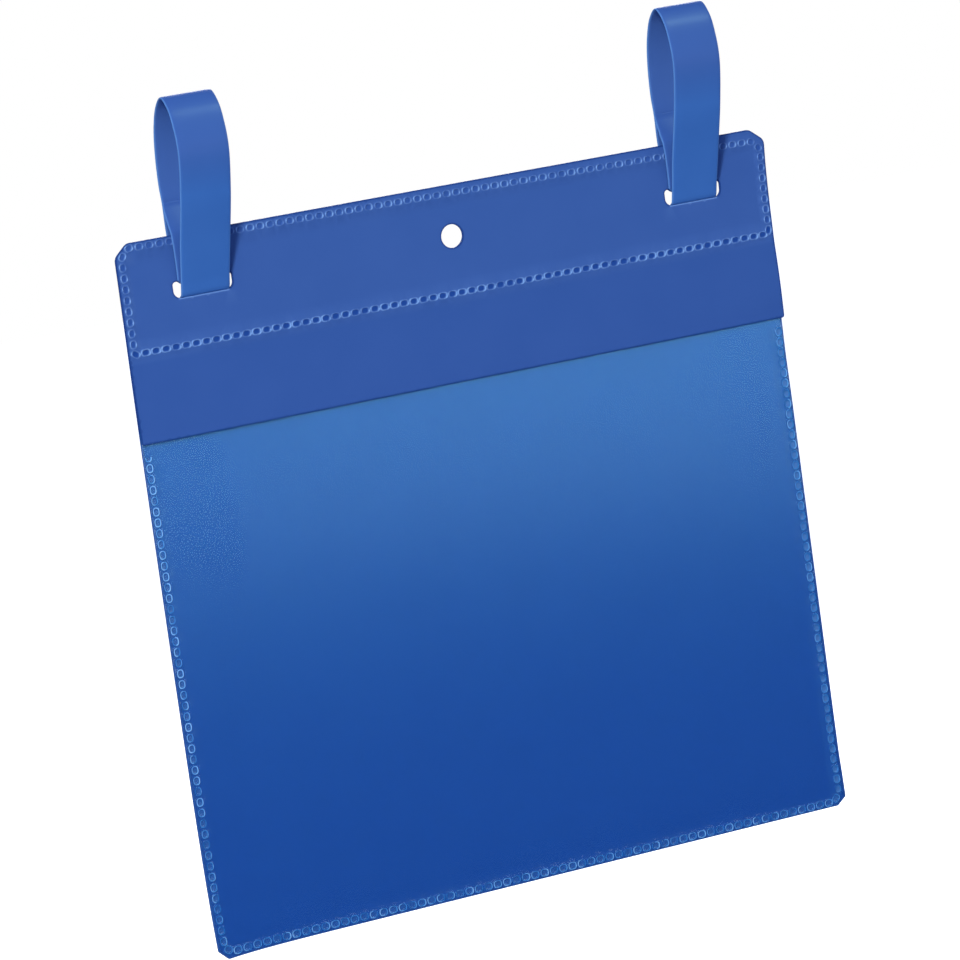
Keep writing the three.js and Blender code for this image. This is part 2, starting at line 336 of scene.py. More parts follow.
def window_painted_reflection(points):
    """Rim and floor tones of the faint paler band beside the right weld, a painted reflection."""
    x, s = points.T
    beside = (x > POCKET_HALF - BAND_WIDTH) * (x < POCKET_HALF + BAND_OVER)
    return BAND_REFLECTION * beside * (s > MOUTH_DROP + BAND_DROP), np.zeros(len(points))


# Films

def to_frame(points):
    return PLATE_ORIGIN + np.array(points, float) * MM


def triangulate(loops, inner):
    """Triangles over the loops' points and the inner ones: the outline comes first, then the holes."""
    points = [tuple(p) for loop in loops for p in loop] + [tuple(p) for p in inner]
    edges, start = [], 0
    for loop in loops:
        count = len(loop)
        edges += [(start + k, start + (k + 1) % count) for k in range(count)]
        start += count
    made, _, faces, origin, _, _ = delaunay_2d_cdt(
        [Vector(p) for p in points], edges, [], 0, 1e-7, True
    )
    places = np.array([tuple(v) for v in made])
    faces = np.array(faces)
    centres = places[faces].mean(axis=1)
    keep = inside(centres, loops[0])
    for hole in loops[1:]:
        keep &= ~inside(centres, hole)
    where = {}
    for index, sources in enumerate(origin):
        for source in sources:
            where[source] = index
    rims, start = [], 0
    for loop in loops:
        rims.append([where[start + k] for k in range(len(loop))])
        start += len(loop)
    return places, faces[keep], rims


def film(name, outline, holes, thickness, lay, inner, cells_front=None, cells_back=None, painted_light=None):
    """A closed film with rounded cut edges. lay(points, depth) bends the flat film into place.

    Its points carry the tones of pressed rims and floors, with painted highlights and
    painted shade among them, a share of painted shade along the edges, and whether
    they are on the front above the pocket's mouth, where the film is dull.
    """
    loops = [outline] + holes
    signs = [1] + [-1] * len(holes)

    def moved_loops(distance):
        return [inset(l, s * distance) for l, s in zip(loops, signs)]

    face_loops = moved_loops(EDGE_PROFILE[0][0])
    guards = [g for distance in GUARD_INSETS for g in moved_loops(distance)]
    limits = moved_loops(GRID_INSET)
    keep = inside(inner, limits[0])
    for limit in limits[1:]:
        keep &= ~inside(inner, limit)
    inner = inner[keep]

    vertices, faces, sides = [], [], []
    values = {"rim": [], "pit": [], "cut": [], "dry": []}
    count = 0
    for side, cells in ((0, cells_front), (1, cells_back)):
        extra = [inner, *guards]
        if cells is not None:
            gaps = np.linalg.norm(inner[:, None, :] - cells.places[None], axis=2)
            extra[0] = inner[gaps.min(axis=1) > CELL_PITCH * CELL_CLEAR]
            extra.append(cell_points(cells))
        places, triangles, rims = triangulate(face_loops, np.concatenate(extra))
        height, rim, pit = np.zeros((3, len(places)))
        bare = np.ones(len(places))
        if cells is not None:
            height, rim, pit, bare = cell_form(places, cells)
        if side:
            height = height * BACK_PRINT
        elif painted_light is not None:
            rim, pit = (np.maximum(tone, more) for tone, more in zip((rim, pit), painted_light(places)))
        edge = np.min([edge_distance(places, loop) for loop in loops], axis=0)
        values["rim"].append(rim)
        values["pit"].append(pit)
        values["dry"].append((places[:, 1] < MOUTH_DROP) * float(not side))
        # Painted shade along the films' edges, faded where pressed rims lie
        shade = bare * np.exp(-(edge / SHADE_REACH) ** 4)
        values["cut"].append(shade * (1 - np.clip(rim * SHADE_FADE, 0, 1)))
        vertices.append(lay(places, height if side else -thickness - height))
        faces += [tuple(t + count for t in tri) for tri in triangles.tolist()]
        sides.append([[v + count for v in rim_loop] for rim_loop in rims])
        count += len(places)
    profile = [(i, -thickness + d) for i, d in EDGE_PROFILE[1:]]
    profile += [(i, -d) for i, d in EDGE_PROFILE[:0:-1]]
    for index, (loop, sign) in enumerate(zip(loops, signs)):
        rows = [sides[0][index]]
        for distance, depth in profile:
            moved = inset(loop, sign * distance)
            vertices.append(lay(moved, np.full(len(moved), depth)))
            rows.append(list(range(count, count + len(moved))))
            for key, value in (("rim", 0.0), ("pit", 0.0), ("cut", 1.0), ("dry", 0.0)):
                values[key].append(np.full(len(moved), value))
            count += len(moved)
        rows.append(sides[1][index])
        for upper, lower in zip(rows, rows[1:]):
            length = len(upper)
            for k in range(length):
                after = (k + 1) % length
                faces.append((upper[k], upper[after], lower[after], lower[k]))
    values = {key: np.concatenate(parts) for key, parts in values.items()}
    return make_piece(name, np.concatenate(vertices), faces, values)


def make_piece(name, points, faces, values):
    mesh = bpy.data.meshes.new(name)
    mesh.from_pydata(to_frame(points).tolist(), [], faces)
    for key, value in values.items():
        attribute = mesh.attributes.new(key, "FLOAT", "POINT")
        attribute.data.foreach_set("value", value.astype(np.float32))
    body = bmesh.new()
    body.from_mesh(mesh)
    bmesh.ops.recalc_face_normals(body, faces=body.faces)
    if body.calc_volume(signed=True) < 0:
        bmesh.ops.reverse_faces(body, faces=body.faces)
    body.to_mesh(mesh)
    body.free()
    mesh.shade_smooth()
    piece = bpy.data.objects.new(name, mesh)
    bpy.context.scene.collection.objects.link(piece)
    return piece


# The plate isn't quite square or flat: how far to the right its right edge lies
# at places down the film, how far its foot lies to the right on the left side
# and below a straight line, and how far its left top corner curls forward
RIGHT_DRIFT = (
    (-10, 1.9), (0, 1.3), (5, 1.05), (12, 0.65), (20, 0.42), (36, 0.36), (60, -0.45), (72, -0.56),
    (88, -0.33), (120, -0.13), (160, 0.13), (195, 0.38), (204, 0.46), (211, 0.74),
    (PLATE_HEIGHT, 1.0), (PLATE_HEIGHT + 20, 1.5),
)
DRIFT_SOFT = 4.0
DRIFT_REACH = 50.0
LEFT_FOOT_DRIFT = 1.45
LEFT_FOOT_REACH = 23
LEFT_TOP_BEND = 0.95
BEND_DOWN = 42
BEND_ACROSS = 60
FOOT_SAG = 0.15
CORNER_SAG = 1.2
CORNER_SAG_ACROSS = 11
CORNER_SAG_UP = 25


def softened(pairs, reach):
    """Places and values between the given ones, with the corners rounded off."""
    places = np.arange(pairs[0][0], pairs[-1][0], 0.5)
    values = np.interp(places, *np.array(pairs).T)
    weights = np.hanning(int(4 * reach) + 1)
    half = len(weights) // 2
    wide = np.concatenate([np.full(half, values[0]), values, np.full(half, values[-1])])
    return places, np.convolve(wide, weights / weights.sum(), "valid")


drift_places, drift_values = softened(RIGHT_DRIFT, DRIFT_SOFT)


def bend(x, s):
    """How far forward the film curls near its left top corner."""
    return LEFT_TOP_BEND * np.exp(-(s / BEND_DOWN) ** 2 - ((x + HALF_WIDTH) / BEND_ACROSS) ** 2)


def drift(x, s):
    """How far to the right the film lies."""
    right = np.interp(s, drift_places, drift_values) * np.exp(-((HALF_WIDTH - x) / DRIFT_REACH) ** 2)
    left = LEFT_FOOT_DRIFT * np.exp((s - PLATE_HEIGHT) / LEFT_FOOT_REACH) * (0.5 - 0.5 * x / HALF_WIDTH)
    return right + left


def sag(x, s):
    """How far the plate's foot and its lower left corner lie below a straight line."""
    corner = np.exp(-(x + HALF_WIDTH) / CORNER_SAG_ACROSS - (PLATE_HEIGHT - s) / CORNER_SAG_UP)
    return FOOT_SAG * (s / PLATE_HEIGHT) ** 4 + CORNER_SAG * corner


def rise_off(distance):
    """From 0 at a weld to 1 in the open, starting level."""
    share = np.clip(distance, 0, None) / BOW_EDGE
    return 1 - (1 + share) * np.exp(-share)


def lay_back(points, depth):
    x, s = points.T
    return np.stack([x + drift(x, s), BACK_THICK + depth - bend(x, s), -s - sag(x, s)], 1)


def window_gap(x, s):
    open_share = rise_off(POCKET_HALF - np.abs(x)) * rise_off(POCKET_FOOT - s)
    lip = WINDOW_LIP * np.exp(-np.clip(s - MOUTH_DROP, 0, None) / LIP_REACH)
    return (WINDOW_BOW + lip) * open_share


def lay_window(points, depth):
    x, s = points.T
    y = depth - FILM_GAP - window_gap(x, s) - bend(x, s)
    return np.stack([x + drift(x, s), y, -s - sag(x, s)], 1)


# How far forward the flap's free edge hangs, how much less at its two ends, its
# bulge at the right one, how far in from the ends these reach, and its soft fold
FLAP_RISE = 0.72
FLAP_LEFT_DROP = 0.25
FLAP_RIGHT_DROP = 0.3
FLAP_BULGE = 0.35
FLAP_END = 9.0
FOLD_SOFT = 0.6


def flap_rise(x):
    left = FLAP_LEFT_DROP * np.exp(-(x + HALF_WIDTH) / FLAP_END)
    right = FLAP_RIGHT_DROP * np.exp(-(HALF_WIDTH - x) / FLAP_END)
    return FLAP_RISE - left - right


def lay_cover(points, depth):
    x, s = points.T
    past = s - HINGE_DROP
    ramp = 0.5 * (past + np.sqrt(past ** 2 + FOLD_SOFT ** 2))
    slope = 0.5 * (1 + past / np.sqrt(past ** 2 + FOLD_SOFT ** 2))
    sine = flap_rise(x) / FLAP_LENGTH
    cosine = np.sqrt(1 - sine ** 2)
    tilt = np.arcsin(sine) * slope
    share = np.clip(past / FLAP_LENGTH, 0, 1)
    bulge = FLAP_BULGE * np.sin(math.pi * share) * np.exp(-(HALF_WIDTH - x) / FLAP_END)
    forward = FILM_GAP / 2 + bend(x, np.minimum(s, HINGE_DROP)) + sine * ramp + bulge
    z = -s + (1 - cosine) * ramp - depth * np.sin(tilt)
    return np.stack([x + drift(x, np.minimum(s, HINGE_DROP)), depth * np.cos(tilt) - forward, z], 1)


# The rows and columns of points inside the films, finest beside the welds and the fold
PLATE_COLUMNS = (-108, 108, 55)
PLATE_ROWS = (3, 218, 54)
FOLD_ROWS = (HINGE_DROP - 1.0, HINGE_DROP + 2.4, 18)
HEADER_ROWS = (3, 33, 8)
FLAP_ROWS = (40, 60, 7)
MOUTH_ROWS = (66.5, 63, 60.5, 58.8, 57.9)
COVER_EDGE = 1.2
COVER_STEPS = (1.6, 1.15, 5.0)
BOW_STEPS = (0.55, 1.12, 5.0)
BOW_TOP = 70
LAST_STEP = 1.3


def stations(near, far, first, growth, largest):
    """Numbers from near to far whose steps grow."""
    found, step = [near], first
    way = math.copysign(1.0, far - near)
    while abs(far - found[-1]) > step * LAST_STEP:
        found.append(found[-1] + way * step)
        step = min(step * growth, largest)
    return found


def mirrored(values):
    return sorted(set([-v for v in values] + list(values)))


# The middles of the weld lines, whose corners follow the cut corners of the films
HEADER_WELD = (
    (-106.7, 1.6), (106.5, 3.8), (109.75, 6.6), (109.75, 33.7), (-109.5, 33.4), (-109.5, 4.2),
)
WINDOW_WELD = (
    (109.75, 65.2), (109.1, 216.6), (107.0, 219.1), (-107.3, 218.7), (-109.3, 216.8), (-109.8, 64.9),
)
WELD_TOP_LEFT = 64.7

# Where the header's middle row starts and its top row ends, where the pocket's
# foot row starts, and how its left column widens and its painted highlight fades
# on the way down
MIDDLE_ROW_DROP = 32
TOP_ROW_DROP = 4.2
FOOT_ROW_DROP = 217.8
LOW_DROP = 130
LOW_REACH = 70
HIGHLIGHT_DROP = 65
HIGHLIGHT_REACH = 150

header_places, header_ways = spaced(HEADER_WELD, True)
window_places, window_ways = spaced(WINDOW_WELD, False)
chance = np.random.default_rng(5)


def uneven(values, spread):
    """A left and a right tone for each cell, by chance around its value."""
    return values[:, None] * (1 + spread * (2 * chance.random((len(values), 2)) - 1))


def half_sizes(along, across):
    return np.stack(np.broadcast_arrays(along, across), 1).astype(float)


# The cells of the header's weld: those of its lower row are the longest
header_s = header_places[:, 1]
in_middle_row = (header_s > MIDDLE_ROW_DROP).astype(float)
in_top_row = (header_s < TOP_ROW_DROP).astype(float)
header_cells = Cells(
    places=header_places,
    ways=header_ways,
    sizes=half_sizes(1.2 + 0.2 * in_middle_row, 0.97),
    tones=uneven(0.46 - 0.04 * in_middle_row - 0.12 * in_top_row, 0.65),
    pits=0.45 + 0.45 * in_middle_row - 0.2 * in_top_row,
    # Painted glints where cells meet, strongest in the middle row, and the share of painted highlight that
    # level walls keep
    shines=2.2 + 0.6 * in_middle_row,
    levels=0.35 + 0.3 * in_middle_row,
    tops=np.zeros(len(header_places)),
)

# The cells of the pocket's weld: with a painted highlight that is brightest in
# the upper left, filled and wide on the right, and largest in the foot
window_x, window_s = window_places.T
in_foot = (window_s > FOOT_ROW_DROP).astype(float)
on_right = (window_x > POCKET_HALF).astype(float) * (1 - in_foot)
low = np.clip((window_s - LOW_DROP) / LOW_REACH, 0, 1) * (1 - on_right)
# Painted highlight on the rims, brightest in the upper left
upper_left_highlight = np.clip(1 - (window_s - HIGHLIGHT_DROP) / HIGHLIGHT_REACH, 0, 1)
upper_left_highlight = upper_left_highlight * (0.75 - 0.25 * window_x / HALF_WIDTH)
cell_lengths = 1.2 + 0.12 * on_right + 0.1 * in_foot
cell_widths = 0.92 + 0.14 * on_right + 0.08 * low + 0.1 * in_foot
window_cells = Cells(
    places=window_places,
    ways=window_ways,
    sizes=half_sizes(cell_lengths, cell_widths),
    tones=uneven(0.62 + 0.36 * upper_left_highlight - 0.14 * on_right, 0.35),
    pits=0.65 + 0.45 * on_right - 0.1 * in_foot,
    shines=np.full(len(window_places), 0.1),
    levels=np.full(len(window_places), 0.85),
    tops=np.where(window_x < 0, WELD_TOP_LEFT, 0.0),
)
all_cells = Cells(*(np.concatenate(pair) for pair in zip(header_cells, window_cells)))

plate_outline = film_outline(0, PLATE_HEIGHT, TOP_CUTS, FOOT_CUTS)
cover_outline = film_outline(0, HINGE_DROP + FLAP_LENGTH, TOP_CUTS, None)
window_outline = film_outline(MOUTH_DROP, PLATE_HEIGHT, None, FOOT_CUTS)


def plate_holes():
    return [slot_hole(-SLOT_ACROSS), slot_hole(SLOT_ACROSS), round_hole(0, NAIL_DROP, NAIL_RADIUS)]


plate_grid = grid(np.linspace(*PLATE_COLUMNS), np.linspace(*PLATE_ROWS))
back_film = film(
    "back_film", plate_outline, plate_holes(), BACK_THICK, lay_back, plate_grid, None, all_cells
)

cover_rows = sorted(s for rows in (HEADER_ROWS, FOLD_ROWS, FLAP_ROWS) for s in np.linspace(*rows))
cover_columns = mirrored(stations(HALF_WIDTH - COVER_EDGE, 0, *COVER_STEPS))
cover_film = film(
    "cover_film", cover_outline, plate_holes(), HEADER_THICK, lay_cover,
    grid(cover_columns, cover_rows), header_cells, None, cover_painted_light,
)

bow_columns = mirrored(stations(POCKET_HALF, 0, *BOW_STEPS))
bow_rows = sorted([*stations(POCKET_FOOT, BOW_TOP, *BOW_STEPS), *MOUTH_ROWS])
window_film = film(
    "window_film", window_outline, [], WINDOW_THICK, lay_window,
    grid(bow_columns, bow_rows), window_cells, None, window_painted_reflection,
)


# Straps

# The bands: rows along them, rounded edges as (inset, depth), points across the
# face as shares, insets between which the painted highlight along the cut edges
# fades, and how far to the right of its slot each lies
STRAP_WIDTH = 16.6
STRAP_THICK = 0.8
STRAP_STEPS = 420
STRAP_EDGE = ((1.15, 0.0), (0.5, 0.05), (0.16, 0.14), (0.03, 0.27), (0.0, 0.4))
FACE_SHARES = (-0.6, -0.2, 0.2, 0.6)
EDGE_HIGHLIGHT_INSETS = (0.1, 0.5)
STRAP_SHIFT = 0.43
RIGHT_SHIFT = 0.1

# The gap to the films, and to the slot's lower edge, which the front leg presses on
STRAP_GAP = 0.12
LEG_GAP = -0.3
SLOT_TOP = SLOT_DROP - SLOT_RADIUS
SLOT_HEIGHT = 2 * SLOT_RADIUS

# The ring round the header, as reach forward and height: how it peels off the
# band, its way to the slot, its back as a share of the loop's reach, and how far
# to the right of the loop it lies
RING_PEEL = ((0, 9.6), (0.25, 8.4), (1.45, 5.8), (2.85, 3.0))
RING_LIP = 0.85
RING_LIP_HEIGHT = 0.3
RING_BULGE = 1.4
RING_BACK_SHARE = -0.245
RING_SHIFT = -0.4

# How much of each half of the width the ring and the front leg lose at the slot
RING_NECK = 1.1
RING_NECK_START = 0.4
LEG_NECK = 0.25
LEG_NECK_START = 0.3
LEG_NECK_REACH = 0.7

# The front leg's reach at the slot, and the tail behind it with its two barbs
LEG_LIP = 2.0
TAIL_BOW = 2.4
TAIL_LENGTH = 16.0
BARB_REACH = 3.75
BARB_DROP = 5.0
TAIL_TIP_INSET = 3.75

# Heights between which painted shade comes onto the front going up, and painted
# light onto the inside, and how much paler that painted light makes the inside
PAINTED_SHADE_HEIGHTS = (12.0, 26.0)
LIT_HEIGHTS = (4.0, 16.0)
INNER_LIGHT = 0.06

# The loop's middle line as shares of its reach and height, and both loops'
# heights and reaches
LOOP_SHARES = (
    (-0.285, 0.36), (-0.235, 0.6), (-0.09, 0.79), (0.16, 0.935), (0.47, 1),
    (0.79, 0.91), (0.955, 0.76), (1, 0.59), (0.785, 0.28), (0.41, -0.07),
)
LEFT_LOOP = (41.5, 14.6)
RIGHT_LOOP = (42.9, 13.7)


def strap_route(height, reach):
    """Points on the middle of the strap, as forward reach and height."""
    half = STRAP_THICK / 2
    radius = HEADER_THICK + 2 * STRAP_GAP + half
    turn_height = -SLOT_TOP - 2 * STRAP_GAP - half + radius
    back = RING_BACK_SHARE * reach
    leg = -SLOT_TOP - SLOT_HEIGHT + STRAP_THICK + LEG_GAP
    rest = -(BACK_THICK + STRAP_GAP + half)
    turn = [
        (radius * math.cos(-k * math.pi / 4), turn_height + radius * math.sin(-k * math.pi / 4))
        for k in range(5)
    ]
    loop = [(forward * reach, up * height) for forward, up in LOOP_SHARES]
    return [
        *((back + forward, up) for forward, up in RING_PEEL), (RING_LIP, RING_LIP_HEIGHT),
        (RING_BULGE, -SLOT_TOP / 2), *turn, (back, 0), (back, RING_PEEL[0][1]), *loop,
        (LEG_LIP, -SLOT_TOP), (half, leg), (-half, leg - half),
        (-TAIL_BOW, leg - TAIL_BOW), (-TAIL_BOW, leg - 2 * TAIL_BOW),
        (rest, -SLOT_DROP - TAIL_LENGTH),
    ]


def smooth_curve(points, steps):
    """Evenly spaced points and directions of the centripetal Catmull-Rom curve through the given points."""
    p = np.array(points, float)
    p = np.concatenate([[2 * p[0] - p[1]], p, [2 * p[-1] - p[-2]]])
    dense = []
    for p0, p1, p2, p3 in zip(p, p[1:], p[2:], p[3:]):
        t0, t1, t2 = (math.sqrt(np.linalg.norm(b - a)) for a, b in ((p0, p1), (p1, p2), (p2, p3)))
        m1 = ((p1 - p0) / t0 - (p2 - p0) / (t0 + t1) + (p2 - p1) / t1) * t1
        m2 = ((p2 - p1) / t1 - (p3 - p1) / (t1 + t2) + (p3 - p2) / t2) * t1
        t = np.linspace(0, 1, 200, endpoint=False)[:, None]
        dense.append(
            (2 * t ** 3 - 3 * t ** 2 + 1) * p1 + (t ** 3 - 2 * t ** 2 + t) * m1
            + (3 * t ** 2 - 2 * t ** 3) * p2 + (t ** 3 - t ** 2) * m2
        )
    line = np.concatenate([*dense, p[-2:-1]])
    along = np.concatenate([[0], np.cumsum(np.linalg.norm(np.diff(line, axis=0), axis=1))])
    at = np.linspace(0, along[-1], steps + 1)
    found = np.stack([np.interp(at, along, line[:, k]) for k in (0, 1)], 1)
    ways = np.gradient(found, axis=0)
    return found, ways / np.linalg.norm(ways, axis=1)[:, None]


def strap_half_width(line):
    """Half the strap's width: it necks at the slot, and its tail has two barbs and a tapered tip."""
    half = STRAP_WIDTH / 2
    shoulder = -(SLOT_TOP + SLOT_HEIGHT + STRAP_THICK)
    foot = -SLOT_DROP - TAIL_LENGTH - 1.0
    heights = [foot, shoulder - BARB_DROP, shoulder, 0]
    widths = [half - TAIL_TIP_INSET, half + BARB_REACH, half - LEG_NECK, half - LEG_NECK]
    order = np.arange(len(line))
    top = np.argmax(line[:, 1])
    found = half - RING_NECK * np.clip(-SLOT_TOP + RING_NECK_START - line[:, 1], 0, 1)
    leg = order > top
    into = np.clip(-line[leg, 1] / SLOT_TOP - LEG_NECK_START, 0, LEG_NECK_REACH)
    found[leg] = half - LEG_NECK * into / LEG_NECK_REACH
    tail = order > np.flatnonzero(line[:, 0] > 0)[-1]
    found[tail] = np.interp(line[tail, 1], heights, widths)
    return found


def strap(name, loop, across):
    line, ways = smooth_curve(strap_route(*loop), STRAP_STEPS)
    halves = strap_half_width(line)
    half_thick = STRAP_THICK / 2
    face = [(-1, i, half_thick - d) for i, d in STRAP_EDGE[::-1]]
    face += [(t, STRAP_EDGE[0][0], half_thick) for t in FACE_SHARES]
    face += [(1, i, half_thick - d) for i, d in STRAP_EDGE]
    ring = face + [(side, i, -h) for side, i, h in face[-2:0:-1]]
    points, cut, painted_shade, lit = [], [], [], []
    ahead = float(bend(across, SLOT_DROP))
    top = np.argmax(line[:, 1])
    turn = np.argmin(line[:top, 1])
    onto = np.clip((RING_PEEL[0][1] - line[:, 1]) / RING_PEEL[0][1], 0, 1)
    off = np.clip(1 - (line[:, 1] + SLOT_TOP) / SLOT_TOP, 0, 1)
    order = np.arange(len(line))
    pulled = np.where(order < turn, onto, np.where(order < top, off, 0))
    shift = STRAP_SHIFT + RIGHT_SHIFT * (across > 0) + RING_SHIFT * pulled
    for index, ((forward, up), (tx, tz), half) in enumerate(zip(line, ways, halves)):
        for side, distance, offset in ring:
            x = across + shift[index] + side * (half - distance)
            points.append((x, -(ahead + forward - tz * offset), up + tx * offset))
            # Painted highlight along the band's cut edges
            cut.append(float(np.interp(distance, EDGE_HIGHLIGHT_INSETS, (1, 0))))
            # Painted shade on the front going up and over the back, painted light on the inside higher up
            painted_shade.append(1.0 if index < top else float(np.interp(up, PAINTED_SHADE_HEIGHTS, (0, 1))))
            lit.append(INNER_LIGHT * float(np.interp(up, LIT_HEIGHTS, (0, 1))) * (offset < 0))
    size = len(ring)
    faces = []
    for row in range(len(line) - 1):
        for k in range(size):
            a, b = row * size + k, row * size + (k + 1) % size
            faces.append((a, b, b + size, a + size))
    for base in (0, (len(line) - 1) * size):
        near = list(range(base, base + len(face)))
        far = [near[0]] + list(range(base + size - 1, base + len(face) - 1, -1)) + [near[-1]]
        for k in range(len(face) - 1):
            quad = [near[k], near[k + 1], far[k + 1], far[k]]
            faces.append(tuple(dict.fromkeys(quad)))
    points = np.array(points)
    # The attributes carry the painted edge highlight, the painted light inside and the painted shade
    return make_piece(name, points, faces, {
        "cut": np.array(cut), "rim": np.array(lit), "pit": np.array(painted_shade),
    })


strap_band_left = strap("strap_band_left", LEFT_LOOP, -SLOT_ACROSS)
strap_band_right = strap("strap_band_right", RIGHT_LOOP, SLOT_ACROSS)


# Materials

# Scales of the noises, how far roughness goes below and above its level, and
# how much of the painted edge colour shows: shade on the films, a highlight on the straps
CLOUD_SCALE = 60
SPECKLE_SCALE = 5200
SCUFF_SCALE = 900
SCUFF_STRETCH = (1, 1, 0.2)
ROUGH_BELOW = 0.04
ROUGH_ABOVE = 0.05
EDGE_SHARE = 0.85

# The clear film: its roughness and what rims and floors add to it, its shine on
# a rim, the tones at which walls turn milky and pale with painted highlights, and
# how solid each part of it is, painted edge shade included
CLEAR_ROUGH = (0.15, 0.18)
RIM_ROUGH = 0.3
PIT_ROUGH = 0.2
RIM_SHINE = (0, 0.4, 0.5, 0.1)
MILKY_AND_HIGHLIGHT_TONES = (0.45, 0.75)
CLEAR_BODY = 0.12
RIM_BODY = 0.95
PIT_BODY = 0.45
EDGE_SHADE_BODY = 0.85


def srgb(red, green, blue):
    def linear(value):
        value /= 255
        return value / 12.92 if value <= 0.04045 else ((value + 0.055) / 1.055) ** 2.4
    return (linear(red), linear(green), linear(blue), 1.0)


def new_material(name):
    material = bpy.data.materials.new(name)
    material.use_nodes = True
    tree = material.node_tree
    tree.nodes.clear()
    return material, tree


def attribute(tree, name):
    node = tree.nodes.new("ShaderNodeAttribute")
    node.attribute_name = name
    return node.outputs["Fac"]


def noise(tree, scale, detail=2.0, stretch=(1, 1, 1)):
    place = tree.nodes.new("ShaderNodeTexCoord")
    mapping = tree.nodes.new("ShaderNodeMapping")
    mapping.inputs["Scale"].default_value = stretch
    tree.links.new(place.outputs["Object"], mapping.inputs["Vector"])
    node = tree.nodes.new("ShaderNodeTexNoise")
    node.inputs["Scale"].default_value = scale
    node.inputs["Detail"].default_value = detail
    tree.links.new(mapping.outputs["Vector"], node.inputs["Vector"])
    return node.outputs["Fac"]


def mix_colours(tree, factor, first, second):
    node = tree.nodes.new("ShaderNodeMix")
    node.data_type = "RGBA"
    for key, value in (("A", first), ("B", second)):
        socket = [s for s in node.inputs if s.name == key and s.type == "RGBA"][0]
        if isinstance(value, tuple):
            socket.default_value = value
        else:
            tree.links.new(value, socket)
    socket = [s for s in node.inputs if s.name == "Factor" and s.type == "VALUE"][0]
    tree.links.new(factor, socket)
    return [s for s in node.outputs if s.type == "RGBA"][0]


def ranged(tree, value, low, high, out_low, out_high):
    node = tree.nodes.new("ShaderNodeMapRange")
    for key, number in (("From Min", low), ("From Max", high), ("To Min", out_low), ("To Max", out_high)):
        node.inputs[key].default_value = number
    tree.links.new(value, node.inputs["Value"])
    return node.outputs["Result"]


def bump(tree, height, distance, strength=1.0):
    node = tree.nodes.new("ShaderNodeBump")
    node.inputs["Distance"].default_value = distance
    node.inputs["Strength"].default_value = strength
    tree.links.new(height, node.inputs["Height"])
    return node.outputs["Normal"]


def film_colour(tree, main, cloud, pale, deep, edge):
    """The film's colour: faintly clouded, deep on floors and painted shade, pale on pressed rims and
    painted light, and its painted edge colour along the edges.
    """
    clouded = mix_colours(tree, ranged(tree, noise(tree, CLOUD_SCALE, 3), 0.35, 0.65, 0, 1), main, cloud)
    floored = mix_colours(tree, attribute(tree, "pit"), clouded, deep)
    rimmed = mix_colours(tree, attribute(tree, "rim"), floored, pale)
    return mix_colours(tree, ranged(tree, attribute(tree, "cut"), 0, 1, 0, EDGE_SHARE), rimmed, edge)


def matte_film(name, main, cloud, pale, deep, edge, roughness, grain, specular, specular_dry=None):
    """A film of one colour whose shine may have another level where the film is dry."""
    material, tree = new_material(name)
    shader = tree.nodes.new("ShaderNodeBsdfPrincipled")
    output = tree.nodes.new("ShaderNodeOutputMaterial")
    tree.links.new(film_colour(tree, main, cloud, pale, deep, edge), shader.inputs["Base Color"])
    speckle = noise(tree, SPECKLE_SCALE, 2)
    rough = ranged(tree, speckle, 0.3, 0.7, roughness - ROUGH_BELOW, roughness + ROUGH_ABOVE)
    tree.links.new(rough, shader.inputs["Roughness"])
    tree.links.new(bump(tree, speckle, grain * MM), shader.inputs["Normal"])
    shader.inputs["Specular IOR Level"].default_value = specular
    if specular_dry is not None:
        shine = ranged(tree, attribute(tree, "dry"), 0, 1, specular, specular_dry)
        tree.links.new(shine, shader.inputs["Specular IOR Level"])
    tree.links.new(shader.outputs["BSDF"], output.inputs["Surface"])
    return material


def added(tree, first, second, share):
    """first + second * share, never above 1."""
    node = tree.nodes.new("ShaderNodeMath")
    node.operation = "MULTIPLY_ADD"
    node.use_clamp = True
    tree.links.new(second, node.inputs[0])
    node.inputs[1].default_value = share
    tree.links.new(first, node.inputs[2])
    return node.outputs["Value"]


